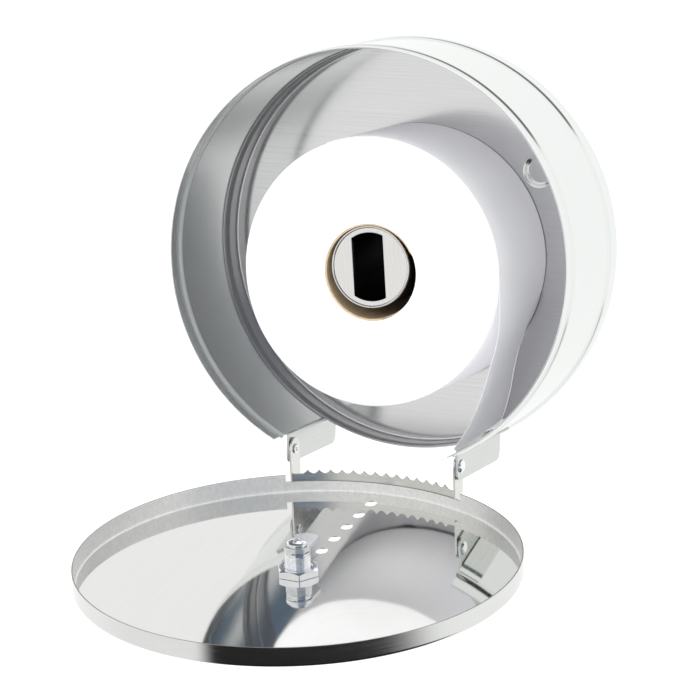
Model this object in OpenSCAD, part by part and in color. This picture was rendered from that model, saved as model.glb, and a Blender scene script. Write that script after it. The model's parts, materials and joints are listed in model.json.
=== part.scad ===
// Jumbo roll toilet paper holder: a wall-mounted drum of sheet steel with a
// round cover that is hinged at the bottom and locks into a hollow spindle.
// Millimetres. +Z is up, the wall is the plane Y = 0 and the front faces -Y.
// The cover is drawn hanging open on its stops.

/* [Drum] */
// Outer radius of the drum band
drum_r = 135; // [120:1:150]
// Distance from the wall to the band's front edge
drum_depth = 105; // [100:1:120]
// Thickness of the drum and cover sheet
sheet = 0.8; // [0.6:0.1:1]
// Half width of the paper opening, to the outer faces of the brackets
outlet_half = 59.3; // [55:0.1:65]
// Height of the rolled ribs
rib_h = 1.4; // [0.8:0.1:1.6]
// Distance from the wall to the front rib
front_rib_d = 92; // [88:0.5:94]
// Distance from the wall to the rear rib
rear_rib_d = 18.5; // [16:0.5:22]

/* [Back pan] */
// Gap that the feet and bosses leave behind the plate
wall_gap = 1.5; // [1:0.1:2.5]
// Distance from the wall to the pan rim's front edge
pan_depth = 23.5; // [23:0.5:28]
// Half distance between the wall screws, sideways
boss_x = 50; // [48:1:70]
// Half distance between the wall screws, upwards
boss_z = 35; // [32:1:40]
// Radius of the flat seat of a wall boss
boss_r = 7; // [6:0.5:9]
// Distance of the upper right foot from the middle, sideways
foot_x = 80; // [78:1:88]
// Distance of the upper right foot above the middle
foot_z = 52; // [50:1:60]
// Radius of the flat sole of a foot
foot_r = 9.3; // [7:0.1:10]
// Radius of the wall screw holes
boss_hole_r = 2.75; // [2:0.25:3.25]

/* [Cover] */
// Outer radius of the cover
cover_r = 138.8; // [138:0.1:142]
// Height of the cover's rim
cover_h = 12.7; // [10:0.1:14]
// Height of the rim where it is cut down between the hinge ears
cut_h = 8; // [6:0.5:9]
// Half width of the cut in the rim
cut_half = 61.6; // [60:0.1:66]
// How far past level the open cover hangs, in degrees
open_tilt = 9.6; // [0:0.1:15]
// Number of sight holes
sight_count = 5; // [3:1:5]
// Distance from the centre to the first sight hole
sight_first = 38; // [34:1:40]
// Distance between sight holes
sight_pitch = 20.8; // [18:0.1:21]
// Half width of a sight hole
sight_r = 3.5; // [2.5:0.1:4]
// Half length of a sight hole, towards the hinge
sight_len = 4.8; // [4.2:0.1:6]

/* [Hinge] */
// Distance from the wall to the hinge axis
pivot_d = 77; // [74:0.5:79]
// Distance from the drum axis down to the hinge axis
pivot_drop = 131.5; // [130:0.5:134]
// Thickness of a bracket
bracket_t = 1.5; // [1.2:0.1:2]
// Distance from the drum axis down to a bracket's lower edge
bracket_drop = 140.6; // [139:0.1:142]
// Half width of a hinge ear
ear_r = 7.3; // [6:0.1:8]
// Radius of a rivet's shank
rivet_r = 2; // [1.5:0.1:2.5]

/* [Tear blade] */
// Thickness of the blade and its ears
blade_t = 1.2; // [0.8:0.1:1.4]
// Height of the blade's edge above the cover's outer face, at the tooth roots
blade_h = 12.8; // [11:0.1:13.5]
// Number of teeth
tooth_count = 14; // [10:1:14]
// Angle from one tooth to the next, seen from the cover's centre
tooth_pitch = 3.08; // [2.8:0.02:3.1]
// Width of a tooth at its root
tooth_w = 5.8; // [4:0.1:6]
// Height of a tooth
tooth_h = 2.7; // [1.5:0.1:3]

/* [Spindle] */
// Outer radius of the spindle
spindle_r = 26.4; // [22:0.1:28]
// Distance from the wall to the spindle's front lip
spindle_d = 94.3; // [92:0.1:95]
// Distance of the spindle's axis below the drum axis
spindle_drop = 5.1; // [0:0.1:8]
// Wall of the spindle
spindle_wall = 1.2; // [1:0.1:2]
// Width of the slot that the cam passes through
slot_w = 21.4; // [18:0.1:22]
// Radius of the slot's round ends
slot_r = 22; // [20:0.5:23]
// Turn of the slot from upright, in degrees
slot_lean = 5; // [-5:0.5:5]
// How far the slot sits left of the spindle's axis
slot_shift = 1.4; // [0:0.1:1.4]

/* [Cam lock] */
// Radius of the lock's threaded barrel
lock_r = 8.2; // [7:0.1:8.6]
// Width of the lock nut across its flats
nut_af = 24.2; // [20:0.1:25]
// Length of the cam from the lock's axis
cam_len = 20.5; // [16:0.5:20.5]
// Width of the cam
cam_w = 15; // [12:0.5:15.5]
// Turn of the cam from the hinge's direction, in degrees
cam_turn = 0; // [0:1:90]
// Radius of the lock's plug
plug_r = 5.5; // [4.5:0.1:6]

/* [Paper roll] */
// Outer radius of the paper roll
roll_r = 86.5; // [50:0.5:88]
// Inner radius of the kraft core
core_r = 30; // [29:0.5:32]
// Wall of the kraft core
core_wall = 1.2; // [0.8:0.1:2]
// Distance from the wall to the roll's rear face
roll_rear = 6.8; // [6.5:0.1:10]
// Distance from the wall to the roll's front face
roll_front = 94.2; // [80:0.1:94.5]

/* [Hidden] */
$fn = 120;

eps = 0.05;             // overlap that joins two shapes of one piece
fit = 0.06;             // radial clearance of a running fit
seat_gap = 0.3;         // gap between the closed cover and the band's edge

// Sheet steel drum
pan_r = drum_r - sheet - 0.1;               // outer radius of the pan's rim
pan_front = wall_gap + sheet;               // distance from the wall to the plate's front
band_rear = 3;                              // distance from the wall to the band's rear edge
rib_half = 4.5;                             // half width of a rolled rib
bend_r = 2;                                 // outer radius of the sheets' bends
boss_slope = 2.4;                           // width of the sloping ring around a boss or foot
foot_places = [[foot_x, foot_z], [-80, 30], [-10, -85]];

// Hinge
bracket_in = outlet_half - bracket_t;       // inner face of a bracket, from the middle
ear_out = bracket_in - 0.5;                 // outer face of an ear, from the middle
ear_in = ear_out - blade_t;                 // inner face of an ear, from the middle
bracket_front = pivot_d + 6.8;              // distance from the wall to a bracket's front end
washer_t = 0.3;

// Cover, in its own axes: X across, Y towards the hinge, Z out of its open side
pivot_up = drum_depth + seat_gap + sheet - pivot_d;     // hinge axis above the outer face

// Spindle
flange_r = 38;
flange_t = 1.2;
stud_ring_r = 32;                           // radius of the ring of spindle screws
stud_r = 2;
stud_head_h = 1.2;
stud_nut_h = 2.4;
stud_end = pan_front + flange_t + stud_nut_h + 0.5;     // distance from the wall to a screw's end
cap_front = spindle_d - 0.7;                // distance from the wall to the cap's face
cap_t = 1.5;
lip_t = 1;                                  // wall of the slot's turned-in lips
lip_d = 1.7;                                // depth of the slot's turned-in lips

// Lock, heights above the cover's outer face
head_r = 10.5;
head_h = 2;
barrel_top = 16;
nut_h = 5;
nut_turn = 55;                              // turn of the nut's corners about the lock's axis
stop_t = 0.8;
stop_ring_r = 6.8;                          // inner radius of the half ring that stops the plug
cam_bottom = barrel_top + stop_t;
cam_t = 2.6;
cam_top = cam_bottom + cam_t;
spring_t = 0.5;
screw_head_r = 6.3;
screw_head_h = 2.8;
drive_w = 7;                                // width of the plug's square end
collar_r = plug_r + 1.3;
collar_h = 1.2;
wafer_count = 5;
wafer_t = 0.7;
wafer_pitch = 2;
wafer_first = 1.6;                          // height of the first wafer

// Paper
roll_drop = spindle_drop + core_r - spindle_r - 0.1;    // the core hangs on the spindle
tail_t = 0.5;
// The free end of the paper, as a Bezier curve of [across, up] points
tail_curve = [[roll_r + 0.5, -8.6], [90, -60], [70, -96], [46, -141]];
tail_steps = 28;
// Everything below this edge is torn off, as [distance from the wall, up]; it
// clears the closing blade at the front and the pan's rim at the rear
torn_edge = [
    [100, -117], [66, -125], [56, -141.5], [32, -139], [27, -117], [0, -114], [0, -170], [100, -170]
];

steel = "silver";
bright = "gainsboro";
chrome = "lightsteelblue";
paper = "white";
kraft = "tan";

// Turns the Z axis to the front: children are drawn as [across, up, distance from the wall]
module from_wall() { rotate([90, 0, 0]) children(); }

// Draws children in the cover's axes, with the cover hanging open
module on_cover() {
    translate([0, -pivot_d, -pivot_drop])
        rotate([open_tilt, 0, 0])
            translate([0, -pivot_drop, -pivot_up])
                children();
}

// Draws children on the cover, turned with the lock's plug about the lock's axis
module on_plug() { on_cover() rotate(-cam_turn) children(); }

// Ring about the Z axis
module ring(r_in, r_out, z0, z1) {
    translate([0, 0, z0])
        difference() {
            cylinder(r = r_out, h = z1 - z0);
            translate([0, 0, -1]) cylinder(r = r_in, h = z1 - z0 + 2);
        }
}

// Draws children with their Z axis along X, so that they start at x
module along_x(x, d, up) { translate([x, -d, up]) rotate([0, 90, 0]) children(); }

// Height of a rolled rib at distance d from the wall
function rib(d, centre) =
    abs(d - centre) >= rib_half ? 0 : rib_h * (1 + cos(180 * (d - centre) / rib_half)) / 2;

// Points [radius, distance] along one face of a ribbed wall
function rib_points(r, centre) =
    [for (i = [-6:6]) let (d = centre + rib_half * i / 6) [r + rib(d, centre), d]];

// Points of a quarter bend of radius r about [cx, cy], from angle a0 to angle a1
function arc_points(cx, cy, r, a0, a1, steps) =
    [for (i = [0:steps]) let (a = a0 + (a1 - a0) * i / steps) [cx + r * cos(a), cy + r * sin(a)]];

function reversed(list) = [for (i = [len(list) - 1:-1:0]) list[i]];

// Point of the paper's free end at t from 0 to 1
function tail_point(t) =
    pow(1 - t, 3) * tail_curve[0] + 3 * t * pow(1 - t, 2) * tail_curve[1]
    + 3 * t * t * (1 - t) * tail_curve[2] + pow(t, 3) * tail_curve[3];

function tail_normal(t) =
    let (v = tail_point(t + 0.01) - tail_point(t - 0.01)) [v[1], -v[0]] / norm(v);

// Shallow pan that nests in the band, with three pressed feet and four sunk
// bosses for the wall screws
module back_pan() {
    outer = concat(
        [[0, wall_gap]],
        arc_points(pan_r - bend_r, wall_gap + bend_r, bend_r, -90, 0, 4),
        rib_points(pan_r, rear_rib_d),
        [[pan_r, pan_depth]]);
    inner = concat(
        [[0, pan_front]],
        arc_points(pan_r - bend_r, wall_gap + bend_r, bend_r - sheet, -90, 0, 4),
        rib_points(pan_r - sheet, rear_rib_d),
        [[pan_r - sheet, pan_depth]]);
    color(steel) from_wall() {
        difference() {
            rotate_extrude() polygon(concat(outer, reversed(inner)));
            boss_places() cylinder(r = boss_r + boss_slope, h = 10);
            for (p = foot_places) translate(p) cylinder(r = foot_r + boss_slope, h = 10);
            translate([0, -spindle_drop, 0]) stud_places() cylinder(r = stud_r + 0.1, h = 10, $fn = 32);
        }
        boss_places() sunk_disc(boss_hole_r, boss_r);
        for (p = foot_places) translate(p) sunk_disc(0, foot_r);
    }
}

module boss_places() {
    for (sx = [-1, 1], sz = [-1, 1]) translate([sx * boss_x, sz * boss_z, 0]) children();
}

// Disc pressed back to the wall, from its hole to the ring that joins the plate
module sunk_disc(hole_r, flat_r) {
    rim = flat_r + boss_slope;
    rotate_extrude($fn = 64)
        polygon([
            [hole_r, 0], [flat_r, 0], [rim, wall_gap], [rim + eps, wall_gap],
            [rim + eps, pan_front], [rim, pan_front], [flat_r, sheet], [hole_r, sheet]]);
}

// C-shaped band with two rolled ribs, open at the bottom
module drum_band() {
    outer = concat(
        [[drum_r, band_rear]],
        rib_points(drum_r, rear_rib_d), rib_points(drum_r, front_rib_d),
        [[drum_r, drum_depth]]);
    inner = [for (p = outer) [p[0] - sheet, p[1]]];
    color(steel) from_wall()
        difference() {
            rotate_extrude() polygon(concat(outer, reversed(inner)));
            translate([-outlet_half - eps, -drum_r - 10, 0])
                cube([2 * (outlet_half + eps), drum_r, drum_depth + 10]);
        }
}

// Outline of a bracket's tab as [distance from the wall, up]; its top steps down
// at the rear, where it passes under the pan's rim
module tab_outline() {
    corner_r = 6;
    low = -bracket_drop;
    top = -(drum_r - 14);
    step_d = pan_depth + 1;
    translate([band_rear + corner_r, low]) square([bracket_front - band_rear - 2 * corner_r, corner_r]);
    translate([band_rear, low + corner_r]) square([step_d - band_rear + eps, top - 1.8 - low - corner_r]);
    translate([step_d, low + corner_r]) square([bracket_front - step_d, top - low - corner_r]);
    for (d = [band_rear + corner_r, bracket_front - corner_r])
        translate([d, low + corner_r]) circle(r = corner_r, $fn = 48);
}

// Tab that hangs from the band's end, with a flange welded along the band
module hinge_bracket(side) {
    flange_in = drum_r + 0.05;
    flange_reach = 13;
    color(bright) {
        difference() {
            // the outline's first axis runs to the front, its second one up
            translate([side * bracket_in, 0, 0]) rotate([90, 0, -90])
                mirror([0, 0, side > 0 ? 1 : 0]) linear_extrude(bracket_t) tab_outline();
            along_x(side * bracket_in - 5, pivot_d, -pivot_drop)
                cylinder(r = rivet_r + 0.1, h = 10, $fn = 32);
        }
        from_wall() intersection() {
            ring(flange_in, flange_in + bracket_t, rear_rib_d + rib_half + 1, bracket_front - 2);
            translate([side > 0 ? bracket_in : -outlet_half - flange_reach, -drum_r - 10, 0])
                cube([flange_reach + bracket_t, drum_r, drum_depth]);
        }
    }
}

module hinge_bracket_left() { hinge_bracket(-1); }
module hinge_bracket_right() { hinge_bracket(1); }

// Rivets that carry the cover: domed outside, hollow and rolled over inside
module hinge_rivets() {
    tail_x = ear_in - 1.15;             // the rolled tail starts here, clear of the ear
    length = outlet_half - tail_x;
    dome = [for (a = [0:15:90]) [4.5 * cos(a), length + 2.2 * sin(a)]];
    color(chrome) for (side = [-1, 1]) mirror([side < 0 ? 1 : 0, 0, 0])
        along_x(tail_x, pivot_d, -pivot_drop) difference() {
            rotate_extrude($fn = 64) polygon(concat(
                [[0, 0], [2.6, 0], [3.2, 0.5], [3.2, 1], [rivet_r, 1], [rivet_r, length]], dome));
            translate([0, 0, -1]) cylinder(r = 1.2, h = 4, $fn = 32);
        }
}

module hinge_washers() {
    color(chrome) for (side = [-1, 1]) mirror([side < 0 ? 1 : 0, 0, 0])
        along_x(bracket_in - washer_t, pivot_d, -pivot_drop)
            ring(rivet_r + 0.1, 5, 0, washer_t, $fn = 48);
}

// Places children on the spindle's axis
module on_spindle() { from_wall() translate([0, -spindle_drop, 0]) children(); }

module spindle_flange() {
    color(bright) on_spindle() difference() {
        ring(spindle_r + 0.05, flange_r, pan_front, pan_front + flange_t);
        stud_places() cylinder(r = stud_r + 0.1, h = 10, $fn = 32);
    }
}

module stud_places() { for (a = [90, 210, 330]) rotate(a) translate([stud_ring_r, 0, 0]) children(); }

module spindle_tube() {
    color(bright) on_spindle() ring(spindle_r - spindle_wall, spindle_r, pan_front, spindle_d);
}

module slot_outline() {
    intersection() {
        circle(r = slot_r);
        translate([-slot_shift, 0]) square([slot_w, 4 * slot_r], center = true);
    }
}

// End disc with the slot for the cam, its straight edges turned in
module spindle_cap() {
    color(bright) on_spindle() rotate(slot_lean) {
        translate([0, 0, cap_front - cap_t]) linear_extrude(cap_t) difference() {
            circle(r = spindle_r - spindle_wall - 0.05);
            slot_outline();
        }
        for (sx = [-1, 1])
            translate([sx * (slot_w + lip_t) / 2 - slot_shift, 0, cap_front - cap_t - lip_d])
                translate([-lip_t / 2, -slot_r * 0.75, 0]) cube([lip_t, slot_r * 1.5, lip_d + eps]);
    }
}

module spindle_screws() {
    color(chrome) on_spindle() stud_places() {
        translate([0, 0, wall_gap - stud_head_h]) cylinder(r = 3.6, h = stud_head_h, $fn = 48);
        translate([0, 0, wall_gap - eps]) cylinder(r = stud_r, h = stud_end - wall_gap + eps, $fn = 32);
    }
}

module spindle_nuts() {
    color(chrome) on_spindle() stud_places()
        translate([0, 0, pan_front + flange_t]) difference() {
            cylinder(r = 4, h = stud_nut_h, $fn = 6);
            translate([0, 0, -1]) cylinder(r = stud_r + 0.05, h = stud_nut_h + 2, $fn = 32);
        }
}

// Free end of the paper: a thin sheet from the roll's side to the opening,
// torn off on a slant so that the closing blade passes it
module paper_tail() {
    face = [for (i = [0:tail_steps]) let (t = i / tail_steps) tail_point(t)];
    back = [for (i = [0:tail_steps]) let (t = i / tail_steps) tail_point(t) - tail_t * tail_normal(t)];
    color(paper) difference() {
        from_wall() translate([0, 0, roll_rear + 0.2])
            linear_extrude(roll_front - roll_rear - 0.4) polygon(concat(face, reversed(back)));
        translate([100, 0, 0]) rotate([90, 0, -90]) linear_extrude(100)
            polygon(torn_edge);
    }
}

module roll_core() {
    color(kraft) from_wall() translate([0, -roll_drop, 0])
        ring(core_r, core_r + core_wall, roll_rear + 0.5, roll_front - 0.5);
}

module paper_roll() {
    color(paper) from_wall() translate([0, -roll_drop, 0])
        ring(core_r + core_wall + 0.05, roll_r, roll_rear, roll_front);
}

// Shallow round pan with sight holes, its rim cut down between the ears
module cover_pan() {
    outer = concat(
        [[0, 0]], arc_points(cover_r - bend_r, bend_r, bend_r, -90, 0, 4), [[cover_r, cover_h]]);
    inner = concat(
        [[0, sheet]], arc_points(cover_r - bend_r, bend_r, bend_r - sheet, -90, 0, 4),
        [[cover_r - sheet, cover_h]]);
    color(bright) on_cover() difference() {
        rotate_extrude() polygon(concat(outer, reversed(inner)));
        translate([-cut_half, cover_r / 2, cut_h]) cube([2 * cut_half, cover_r, cover_h]);
        for (i = [0:sight_count - 1])
            translate([0, sight_first + i * sight_pitch, -1]) sight_hole();
        translate([0, 0, -1]) cylinder(r = lock_r + 0.1, h = 4);
    }
}

// Oblong hole with round ends
module sight_hole() {
    end_y = sight_len - sight_r;
    for (side = [-1, 1]) translate([0, side * end_y, 0]) cylinder(r = sight_r, h = 4, $fn = 48);
    translate([-sight_r, -end_y, 0]) cube([2 * sight_r, 2 * end_y, 4]);
}

// Serrated strip around the rim, with an ear at each end for the hinge
module tear_blade() {
    r_in = cover_r + 0.05;
    r_out = cover_r + blade_t;
    strip_low = 2;
    color(bright) on_cover() difference() {
        union() {
            intersection() {
                ring(r_in, r_out, 0, cover_h + 10);
                union() {
                    translate([-ear_out, r_in / 2, strip_low])
                        cube([2 * ear_out, r_out, blade_h - strip_low]);
                    for (i = [0:tooth_count - 1])
                        rotate((i - (tooth_count - 1) / 2) * tooth_pitch) tooth(r_out + 1);
                }
            }
            for (side = [-1, 1]) mirror([side < 0 ? 1 : 0, 0, 0]) ear();
        }
        translate([-outlet_half, pivot_drop, pivot_up]) rotate([0, 90, 0])
            cylinder(r = rivet_r + fit, h = 2 * outlet_half, $fn = 48);
    }
}

// Wedge that leaves one tooth where it crosses the strip
module tooth(reach) {
    translate([0, reach, blade_h - eps]) rotate([90, 0, 0]) linear_extrude(4)
        polygon([[-tooth_w / 2, 0], [tooth_w / 2, 0], [0.15, tooth_h], [-0.15, tooth_h]]);
}

// Ear of the blade: it passes over the cut rim and ends round the rivet
module ear() {
    rim_y = sqrt(pow(cover_r, 2) - pow(ear_in, 2));     // the rim's outer face beside the ear
    foot_low = 4;
    corner_r = 9;
    translate([ear_in, 0, 0]) rotate([90, 0, 90]) linear_extrude(blade_t) difference() {
        union() {
            translate([pivot_drop, pivot_up]) circle(r = ear_r, $fn = 64);
            translate([pivot_drop - ear_r, foot_low + corner_r])
                square([2 * ear_r, pivot_up - foot_low - corner_r]);
            translate([pivot_drop - ear_r, foot_low]) square([2 * ear_r - corner_r, corner_r + eps]);
            translate([pivot_drop + ear_r - corner_r, foot_low + corner_r]) circle(r = corner_r, $fn = 96);
        }
        square([rim_y, cut_h + 0.4]);
    }
}

// Lock body: round head outside the cover, threaded barrel inside it, and a half
// ring on its end that stops the lobe of the stop washer
module lock_barrel() {
    color(chrome) on_cover() difference() {
        union() {
            translate([0, 0, -head_h]) cylinder(r1 = head_r - 0.8, r2 = head_r, h = 0.8);
            translate([0, 0, 0.8 - head_h]) cylinder(r = head_r, h = head_h - 0.8);
            translate([0, 0, -eps]) cylinder(r = lock_r, h = barrel_top + eps);
            intersection() {
                ring(stop_ring_r, lock_r, barrel_top - eps, barrel_top + stop_t - 0.1);
                translate([-20.4, -10, 0]) cube([20, 20, 30]);
            }
        }
        translate([0, 0, -head_h - 1]) cylinder(r = plug_r + fit, h = barrel_top + head_h + 2);
        translate([0, 0, -head_h - 1]) cylinder(r = collar_r + fit, h = collar_h + 1.1);
    }
}

module lock_nut() {
    color(chrome) on_cover() translate([0, 0, sheet]) difference() {
        intersection() {
            rotate(nut_turn) cylinder(r = nut_af / 2 / cos(30), h = nut_h, $fn = 6);
            cylinder(r1 = nut_af / 2 + nut_h * 2, r2 = nut_af / 2 + 0.3, h = nut_h);
        }
        translate([0, 0, -1]) cylinder(r = lock_r + 0.05, h = nut_h + 2);
    }
}

// Turning core of the lock, with its keyway, wafer slots and square end
module lock_plug() {
    color("goldenrod") on_plug() difference() {
        union() {
            translate([0, 0, -head_h]) cylinder(r = collar_r, h = collar_h);
            translate([0, 0, -head_h]) cylinder(r = plug_r, h = barrel_top + head_h);
            translate([-drive_w / 2, -drive_w / 2, barrel_top - eps])
                cube([drive_w, drive_w, stop_t + cam_t - 0.1 + eps]);
        }
        // keyway
        translate([-0.8, -3.6, -head_h - 1]) cube([1.6, 7.2, 12.4]);
        for (i = [0:wafer_count - 1])
            translate([-3.4, -plug_r - 1, wafer_first + i * wafer_pitch - 0.03])
                cube([6.8, 2 * plug_r + 2, wafer_t + 0.06]);
        translate([0, 0, cam_top - 8]) cylinder(r = 1.75, h = 10, $fn = 32);
    }
}

module lock_wafers() {
    color("gold") on_plug() for (i = [0:wafer_count - 1])
        translate([0, 0, wafer_first + i * wafer_pitch]) linear_extrude(wafer_t) difference() {
            translate([-3.3, -4.2]) square([6.6, 8.2]);
            translate([-1.5, -2.4 + 0.4 * (i % 3)]) square([3, 4]);
        }
}

module lock_springs() {
    color("gray") on_plug() for (i = [0:wafer_count - 1])
        translate([2.6, 4.02, wafer_first + wafer_t / 2 + i * wafer_pitch])
            rotate([-90, 0, 0]) cylinder(r = 0.3, h = 0.5, $fn = 16);
}

// Disc on the square end, with a lobe that limits the plug to a quarter turn
module lock_stop_washer() {
    color(chrome) on_plug() translate([0, 0, barrel_top + 0.1]) linear_extrude(stop_t - 0.1) difference() {
        union() {
            circle(r = stop_ring_r - 0.4);
            intersection() {
                circle(r = lock_r - 0.2);
                square([10, 10]);
            }
        }
        square(drive_w + 0.1, center = true);
    }
}

// Broad tongue with a square hole; it points to the hinge when unlocked
module lock_cam() {
    tip_r = 6;
    color(chrome) on_plug() translate([0, 0, cam_bottom]) linear_extrude(cam_t) difference() {
        union() {
            circle(r = lock_r);
            translate([-cam_w / 2, 0]) square([cam_w, cam_len - tip_r]);
            translate([-cam_w / 2 + tip_r, 0]) square([cam_w - 2 * tip_r, cam_len]);
            for (sx = [-1, 1])
                translate([sx * (cam_w / 2 - tip_r), cam_len - tip_r]) circle(r = tip_r, $fn = 48);
        }
        square(drive_w + 0.1, center = true);
    }
}

module lock_spring_washer() {
    color(chrome) on_plug() difference() {
        ring(2.2, screw_head_r - 1, cam_top, cam_top + spring_t, $fn = 48);
        translate([0, -0.3, cam_top - 1]) cube([10, 0.6, 4]);
    }
}

// Pan head screw with a cross recess that holds the cam on the plug
module lock_screw() {
    head_z = cam_top + spring_t;
    color(chrome) on_plug() difference() {
        union() {
            translate([0, 0, head_z])
                cylinder(r1 = screw_head_r, r2 = screw_head_r - 1, h = screw_head_h, $fn = 64);
            translate([0, 0, head_z - 8]) cylinder(r = 1.7, h = 8 + eps, $fn = 32);
        }
        translate([0, 0, head_z + screw_head_h])
            for (a = [0, 90]) rotate(a) cube([6.6, 1.2, 3], center = true);
    }
}

back_pan();
drum_band();
hinge_bracket_left();
hinge_bracket_right();
hinge_rivets();
hinge_washers();
spindle_flange();
spindle_tube();
spindle_cap();
spindle_screws();
spindle_nuts();
paper_tail();
roll_core();
paper_roll();
cover_pan();
tear_blade();
lock_barrel();
lock_nut();
lock_plug();
lock_wafers();
lock_springs();
lock_stop_washer();
lock_cam();
lock_spring_washer();
lock_screw();
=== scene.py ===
"""Looks for a jumbo toilet roll dispenser with its cover hanging open.

Everything is in metres in the row frame: +Z up, the drum's axis along Y, the wall at Y = 0.
Sheet-metal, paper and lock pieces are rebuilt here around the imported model.
"""

import json
import math
import random
from contextlib import contextmanager

import bmesh
import bpy
from mathutils import Matrix, Vector


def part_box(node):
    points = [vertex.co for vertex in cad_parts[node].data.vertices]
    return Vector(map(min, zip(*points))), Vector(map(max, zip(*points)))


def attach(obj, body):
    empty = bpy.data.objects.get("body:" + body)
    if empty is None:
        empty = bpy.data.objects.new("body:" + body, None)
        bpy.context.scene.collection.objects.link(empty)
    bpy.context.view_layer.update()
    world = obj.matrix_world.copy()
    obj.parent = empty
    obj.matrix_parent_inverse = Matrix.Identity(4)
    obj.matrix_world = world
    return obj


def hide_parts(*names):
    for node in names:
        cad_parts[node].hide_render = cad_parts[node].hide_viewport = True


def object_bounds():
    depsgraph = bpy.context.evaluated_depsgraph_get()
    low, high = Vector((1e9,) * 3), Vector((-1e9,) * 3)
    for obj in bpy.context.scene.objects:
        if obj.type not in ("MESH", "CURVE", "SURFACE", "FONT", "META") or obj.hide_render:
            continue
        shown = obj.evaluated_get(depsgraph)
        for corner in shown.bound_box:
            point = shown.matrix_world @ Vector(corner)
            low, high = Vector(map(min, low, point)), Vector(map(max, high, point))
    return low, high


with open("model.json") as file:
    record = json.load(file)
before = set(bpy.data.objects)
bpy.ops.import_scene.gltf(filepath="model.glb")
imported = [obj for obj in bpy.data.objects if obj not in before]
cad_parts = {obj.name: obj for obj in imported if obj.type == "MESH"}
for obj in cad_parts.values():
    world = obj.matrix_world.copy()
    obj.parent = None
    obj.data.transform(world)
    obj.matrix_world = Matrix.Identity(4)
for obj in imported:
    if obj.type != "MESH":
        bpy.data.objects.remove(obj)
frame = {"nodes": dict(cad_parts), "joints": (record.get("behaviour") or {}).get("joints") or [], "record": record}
cad_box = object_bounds()

MM = 0.001
TURN = 2 * math.pi
WELD = 0.0001 * MM
WELD_PARTS = 0.002 * MM

# ---------------- places from the frame
band_lo, band_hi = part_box("drum_band")
pan_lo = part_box("back_pan")[0]
tube_lo, tube_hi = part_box("spindle_tube")
cap_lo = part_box("spindle_cap")[0]
roll_lo, roll_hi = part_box("paper_roll")
core_lo, core_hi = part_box("roll_core")
tail_lo, tail_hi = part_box("paper_tail")
left_lo, left_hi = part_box("hinge_bracket_left")
right_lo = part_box("hinge_bracket_right")[0]
rivet_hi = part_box("hinge_rivets")[1]

joints = {joint["name"]: joint for joint in frame["joints"]}
pivot = Vector(joints["cover_hinge"]["pos_m"])
lock_foot = Vector(joints["lock_turn"]["pos_m"])
cover_normal = Vector(joints["lock_turn"]["axis"]).normalized()

# The cover's own axes: X across, Y towards the hinge, Z out of its open side
cover_x = Vector((1, 0, 0))
cover_y = cover_normal.cross(cover_x)
cover_frame = Matrix(
    (
        (cover_x.x, cover_y.x, cover_normal.x, lock_foot.x),
        (cover_x.y, cover_y.y, cover_normal.y, lock_foot.y),
        (cover_x.z, cover_y.z, cover_normal.z, lock_foot.z),
        (0, 0, 0, 1),
    )
)
pivot_local = cover_frame.inverted() @ pivot

# ---------------- sizes of the sheet metal
SHEET = 0.8 * MM
RIB_H = 1.4 * MM
RIB_HALF = 4.5 * MM
BAND_R = band_hi.x - RIB_H
BAND_FRONT = -band_lo.y
BAND_REAR = -band_hi.y
FRONT_RIB = BAND_FRONT - 13 * MM
REAR_RIB = BAND_REAR + 15.5 * MM
PAN_R = BAND_R - SHEET - 0.1 * MM
PAN_FRONT = -pan_lo.y
PLATE_BACK = 1.5 * MM
BEND_R = 2 * MM
OUTLET_HALF = right_lo.x + 1.5 * MM
BRACKET_T = 1.5 * MM


# ---------------- mesh helpers
def add_piece(name, mesh, body, slot, materials, matrix=None, replaces=(), **finish):
    """Links a mesh as a piece that rides on a body and stands for the named CAD nodes, and finishes it."""
    obj = bpy.data.objects.new(name, mesh)
    bpy.context.scene.collection.objects.link(obj)
    if matrix is not None:
        obj.matrix_world = matrix
    for material in materials:
        mesh.materials.append(material)
    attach(obj, body)
    if replaces:
        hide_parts(*replaces)
    settle(obj, **finish)
    return obj


@contextmanager
def editing(mesh):
    """Opens a mesh for editing and stores it again afterwards."""
    bm = bmesh.new()
    bm.from_mesh(mesh)
    yield bm
    bm.to_mesh(mesh)
    bm.free()


def mesh_from(name, verts, faces, outward=True):
    """A welded mesh; outward turns its normals out of the solid."""
    mesh = bpy.data.meshes.new(name)
    mesh.from_pydata(verts, [], faces)
    with editing(mesh) as bm:
        bmesh.ops.remove_doubles(bm, verts=bm.verts, dist=WELD)
        if outward:
            bmesh.ops.recalc_face_normals(bm, faces=bm.faces)
    return mesh


def face_towards(mesh, centre):
    """Turns the surface's faces so that they look towards a point on the open side."""
    with editing(mesh) as bm:
        bmesh.ops.recalc_face_normals(bm, faces=bm.faces)
        total = sum(f.normal.dot(centre - f.calc_center_median()) * f.calc_area() for f in bm.faces)
        if total < 0:
            bmesh.ops.reverse_faces(bm, faces=bm.faces)


def grid(rows, close_rows=False, close_columns=False, caps=False):
    """Vertices and faces of a grid of points; caps closes the first and the last row."""
    count = len(rows[0])
    verts = [p for row in rows for p in row]
    faces = []
    row_steps = len(rows) if close_rows else len(rows) - 1
    column_steps = count if close_columns else count - 1
    for i in range(row_steps):
        for j in range(column_steps):
            a, b = i * count, ((i + 1) % len(rows)) * count
            k = (j + 1) % count
            faces.append((a + j, a + k, b + k, b + j))
    if caps:
        faces.append(tuple(range(count))[::-1])
        faces.append(tuple((len(rows) - 1) * count + j for j in range(count)))
    return verts, faces


def polar(radius, angle, height):
    """A point at an angle about the Z axis."""
    return (radius * math.cos(angle), radius * math.sin(angle), height)


def from_above(radius, angle, distance):
    """A point at an angle from straight above the drum's axis, at a distance from the wall."""
    return (radius * math.sin(angle), -distance, radius * math.cos(angle))


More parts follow.
